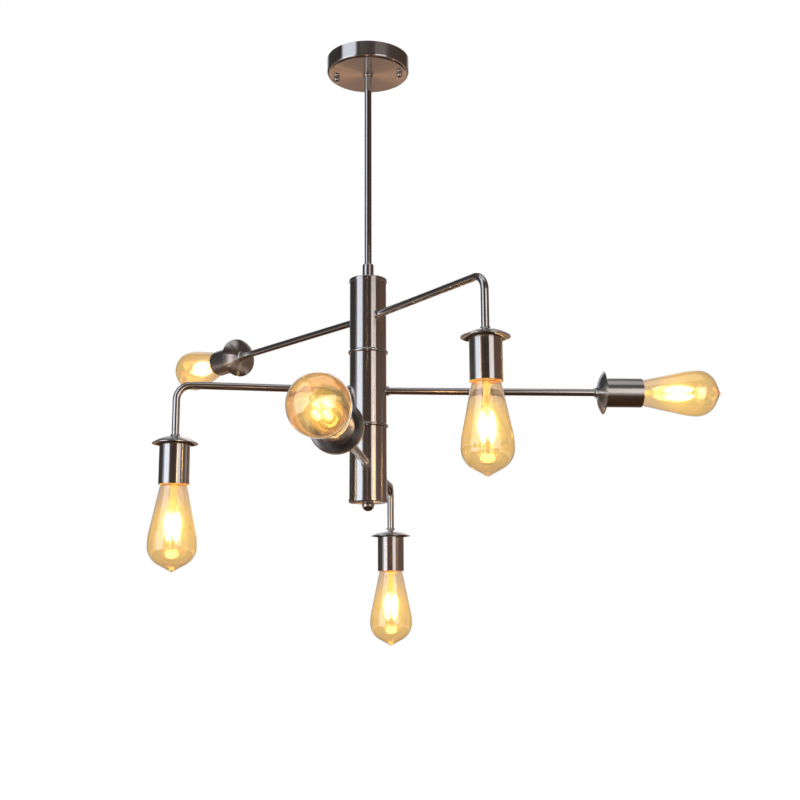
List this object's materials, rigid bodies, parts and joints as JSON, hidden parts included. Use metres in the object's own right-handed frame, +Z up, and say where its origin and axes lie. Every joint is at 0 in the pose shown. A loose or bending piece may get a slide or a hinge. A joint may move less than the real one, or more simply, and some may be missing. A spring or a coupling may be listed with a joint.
{
  "type": "multi arm chandelier",
  "caption": "Hanging chandelier: turning tiers on a tubular column, each with a straight and a bent arm that carry bare teardrop bulbs in plain cups under domed discs.",
  "frame": {"origin": "ceiling plane at the middle of the canopy", "axes": "+Z up into the ceiling, +X along the crossbar through the two ball nuts"},
  "size_m": [0.8565, 0.8215, 0.8324],
  "materials": {
    "satin_nickel": "satin nickel plate",
    "zinc_steel": "zinc plated steel",
    "porcelain": "glazed porcelain",
    "brass": "pressed brass",
    "nickel_base": "nickel plated screw base",
    "amber_glass": "clear amber glass",
    "filament": "lit filaments on a clear glass stem"
  },
  "bodies": {
    "ceiling_fixture": {"crossbar": "zinc_steel", "canopy": "satin_nickel", "canopy_screws": "zinc_steel", "ball_nuts": "satin_nickel", "stem": "satin_nickel", "stem_nuts": "zinc_steel", "stem_collar": "satin_nickel", "top_cap": "satin_nickel", "column_beads": "satin_nickel", "bottom_cap": "satin_nickel", "centre_rod": "zinc_steel", "ball_finial": "satin_nickel"},
    "upper_tier": {"upper_segment": "satin_nickel", "upper_arm_nuts": "satin_nickel", "upper_straight_arm": "satin_nickel", "upper_bent_arm": "satin_nickel", "upper_lampholders": "porcelain", "upper_screw_shells": "brass", "upper_straight_disc": "satin_nickel", "upper_straight_cup": "satin_nickel", "upper_bent_disc": "satin_nickel", "upper_bent_cup": "satin_nickel"},
    "upper_straight_bulb_base": {"upper_straight_bulb_base": "nickel_base"},
    "upper_straight_bulb": {"upper_straight_bulb_glass": "amber_glass", "upper_straight_bulb_filaments": "filament"},
    "upper_bent_bulb_base": {"upper_bent_bulb_base": "nickel_base"},
    "upper_bent_bulb": {"upper_bent_bulb_glass": "amber_glass", "upper_bent_bulb_filaments": "filament"},
    "middle_tier": {"middle_segment": "satin_nickel", "middle_arm_nuts": "satin_nickel", "middle_straight_arm": "satin_nickel", "middle_bent_arm": "satin_nickel", "middle_lampholders": "porcelain", "middle_screw_shells": "brass", "middle_straight_disc": "satin_nickel", "middle_straight_cup": "satin_nickel", "middle_bent_disc": "satin_nickel", "middle_bent_cup": "satin_nickel"},
    "middle_straight_bulb_base": {"middle_straight_bulb_base": "nickel_base"},
    "middle_straight_bulb": {"middle_straight_bulb_glass": "amber_glass", "middle_straight_bulb_filaments": "filament"},
    "middle_bent_bulb_base": {"middle_bent_bulb_base": "nickel_base"},
    "middle_bent_bulb": {"middle_bent_bulb_glass": "amber_glass", "middle_bent_bulb_filaments": "filament"},
    "lower_tier": {"lower_segment": "satin_nickel", "lower_arm_nuts": "satin_nickel", "lower_straight_arm": "satin_nickel", "lower_bent_arm": "satin_nickel", "lower_lampholders": "porcelain", "lower_screw_shells": "brass", "lower_straight_disc": "satin_nickel", "lower_straight_cup": "satin_nickel", "lower_bent_disc": "satin_nickel", "lower_bent_cup": "satin_nickel"},
    "lower_straight_bulb_base": {"lower_straight_bulb_base": "nickel_base"},
    "lower_straight_bulb": {"lower_straight_bulb_glass": "amber_glass", "lower_straight_bulb_filaments": "filament"},
    "lower_bent_bulb_base": {"lower_bent_bulb_base": "nickel_base"},
    "lower_bent_bulb": {"lower_bent_bulb_glass": "amber_glass", "lower_bent_bulb_filaments": "filament"}
  },
  "joints": [
    {"name": "upper_swivel", "type": "hinge", "parent": "ceiling_fixture", "child": "upper_tier", "pos_m": [0, 0, -0.383], "axis": [0, 0, 1], "range_deg": [-14, 25]},
    {"name": "upper_straight_bulb_lift", "type": "slide", "parent": "upper_tier", "child": "upper_straight_bulb_base", "axis": [-0.7547, 0.6561, 0], "range_m": [0, 0.0182]},
    {"name": "upper_straight_bulb_turn", "type": "hinge", "parent": "upper_straight_bulb_base", "child": "upper_straight_bulb", "pos_m": [-0.24528, 0.21322, -0.383], "axis": [-0.7547, 0.6561, 0], "range_deg": [0, 1800]},
    {"name": "upper_bent_bulb_lift", "type": "slide", "parent": "upper_tier", "child": "upper_bent_bulb_base", "axis": [0, 0, -1], "range_m": [0, 0.0182]},
    {"name": "upper_bent_bulb_turn", "type": "hinge", "parent": "upper_bent_bulb_base", "child": "upper_bent_bulb", "pos_m": [0.17295, -0.18874, -0.462], "axis": [0, 0, -1], "range_deg": [0, 1800]},
    {"name": "middle_swivel", "type": "hinge", "parent": "ceiling_fixture", "child": "middle_tier", "pos_m": [0, 0, -0.485], "axis": [0, 0, 1], "range_deg": [-25, 32]},
    {"name": "middle_straight_bulb_lift", "type": "slide", "parent": "middle_tier", "child": "middle_straight_bulb_base", "axis": [0.9781, 0.2079, 0], "range_m": [0, 0.0182]},
    {"name": "middle_straight_bulb_turn", "type": "hinge", "parent": "middle_straight_bulb_base", "child": "middle_straight_bulb", "pos_m": [0.3179, 0.06757, -0.485], "axis": [0.9781, 0.2079, 0], "range_deg": [0, 1800]},
    {"name": "middle_bent_bulb_lift", "type": "slide", "parent": "middle_tier", "child": "middle_bent_bulb_base", "axis": [0, 0, -1], "range_m": [0, 0.0182]},
    {"name": "middle_bent_bulb_turn", "type": "hinge", "parent": "middle_bent_bulb_base", "child": "middle_bent_bulb", "pos_m": [-0.24205, -0.08335, -0.564], "axis": [0, 0, -1], "range_deg": [0, 1800]},
    {"name": "lower_swivel", "type": "hinge", "parent": "ceiling_fixture", "child": "lower_tier", "pos_m": [0, 0, -0.587], "axis": [0, 0, 1], "range_deg": [-33, 15]},
    {"name": "lower_straight_bulb_lift", "type": "slide", "parent": "lower_tier", "child": "lower_straight_bulb_base", "axis": [0.0628, -0.998, 0], "range_m": [0, 0.0182]},
    {"name": "lower_straight_bulb_turn", "type": "hinge", "parent": "lower_straight_bulb_base", "child": "lower_straight_bulb", "pos_m": [0.02041, -0.32436, -0.587], "axis": [0.0628, -0.998, 0], "range_deg": [0, 1800]},
    {"name": "lower_bent_bulb_lift", "type": "slide", "parent": "lower_tier", "child": "lower_bent_bulb_base", "axis": [0, 0, -1], "range_m": [0, 0.0182]},
    {"name": "lower_bent_bulb_turn", "type": "hinge", "parent": "lower_bent_bulb_base", "child": "lower_bent_bulb", "pos_m": [-0.0076, 0.25589, -0.666], "axis": [0, 0, -1], "range_deg": [0, 1800]}
  ],
  "couplings": [
    {"joint": "upper_straight_bulb_lift", "follows": "upper_straight_bulb_turn", "m_per_rad": 0.00057773},
    {"joint": "upper_bent_bulb_lift", "follows": "upper_bent_bulb_turn", "m_per_rad": 0.00057773},
    {"joint": "middle_straight_bulb_lift", "follows": "middle_straight_bulb_turn", "m_per_rad": 0.00057773},
    {"joint": "middle_bent_bulb_lift", "follows": "middle_bent_bulb_turn", "m_per_rad": 0.00057773},
    {"joint": "lower_straight_bulb_lift", "follows": "lower_straight_bulb_turn", "m_per_rad": 0.00057773},
    {"joint": "lower_bent_bulb_lift", "follows": "lower_bent_bulb_turn", "m_per_rad": 0.00057773}
  ]
}
